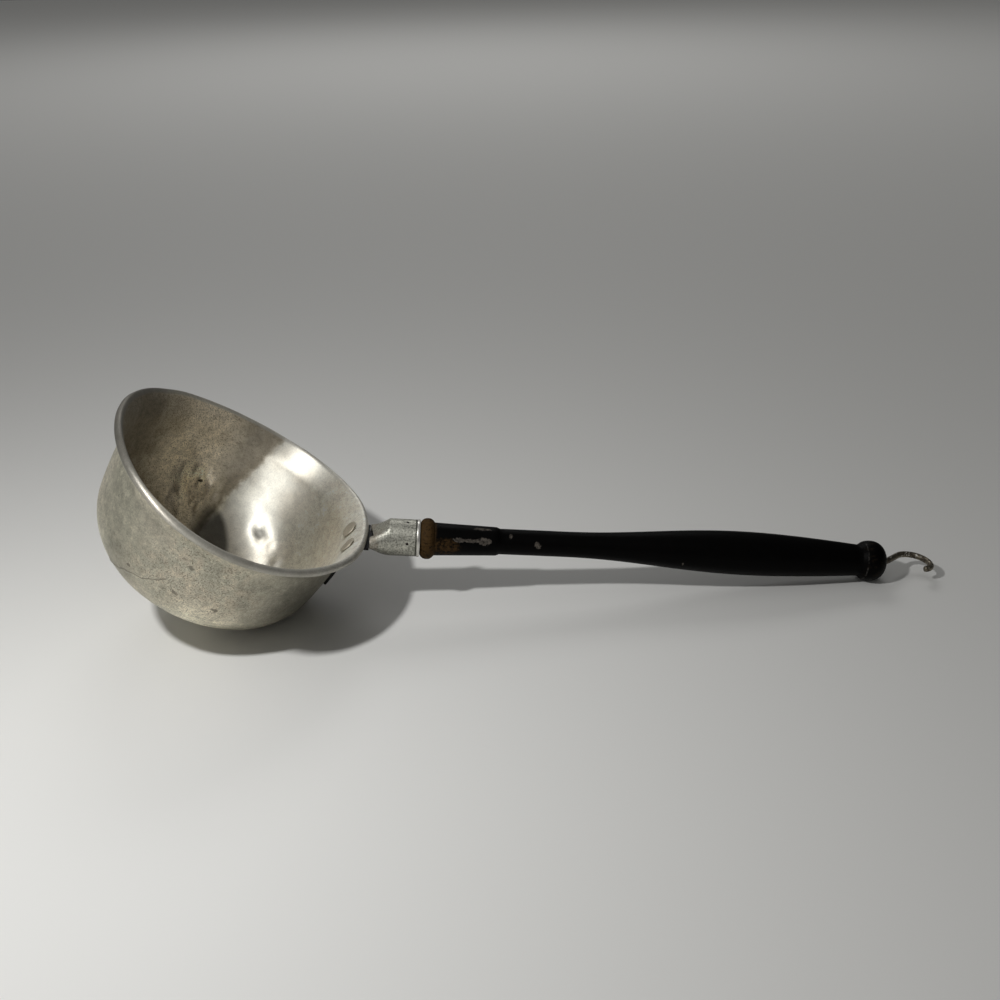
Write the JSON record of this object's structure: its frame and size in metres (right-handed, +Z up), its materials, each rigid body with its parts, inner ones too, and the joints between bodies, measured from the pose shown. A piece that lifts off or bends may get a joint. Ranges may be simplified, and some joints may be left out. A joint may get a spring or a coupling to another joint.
{
  "type": "dipper",
  "caption": "Pressed round bowl riveted to a bent bracket whose tongue is crimped into a socket on a turned wooden handle, with a screw hook in the end to hang it by; dips and pours water.",
  "frame": {"origin": "on the table it lies on, under the middle of its box", "axes": "+X from the bowl to the hook along the handle, +Y across the handle to the side that the hook's ring curls to, +Z up"},
  "size_m": [0.3844, 0.1308, 0.1055],
  "materials": {
    "aluminium": "dull pressed sheet, scuffed and stained",
    "rivet_aluminium": "dull, hammered",
    "black_iron": "black baked enamel, worn",
    "zinc_sheet": "mottled zinc coat on sheet iron",
    "brad_steel": "dark rusted wire",
    "black_paint": "gloss black paint on turned wood, chipped and worn",
    "hook_steel": "brown tarnished wire"
  },
  "bodies": {
    "dipper": {"bowl": "aluminium", "handle_bracket": "black_iron", "bowl_rivet_far": "rivet_aluminium", "bowl_rivet_near": "rivet_aluminium", "handle_socket": "zinc_sheet", "wooden_handle": "black_paint", "socket_brad_top": "brad_steel", "socket_brad_near": "brad_steel"},
    "hook": {"screw_hook": "hook_steel"}
  },
  "joints": [
    {"name": "hook_turn", "type": "hinge", "parent": "dipper", "child": "hook", "pos_m": [0.16782, 0, 0.00873], "axis": [0.994, 0, -0.1092], "range_deg": [0, 180]}
  ]
}
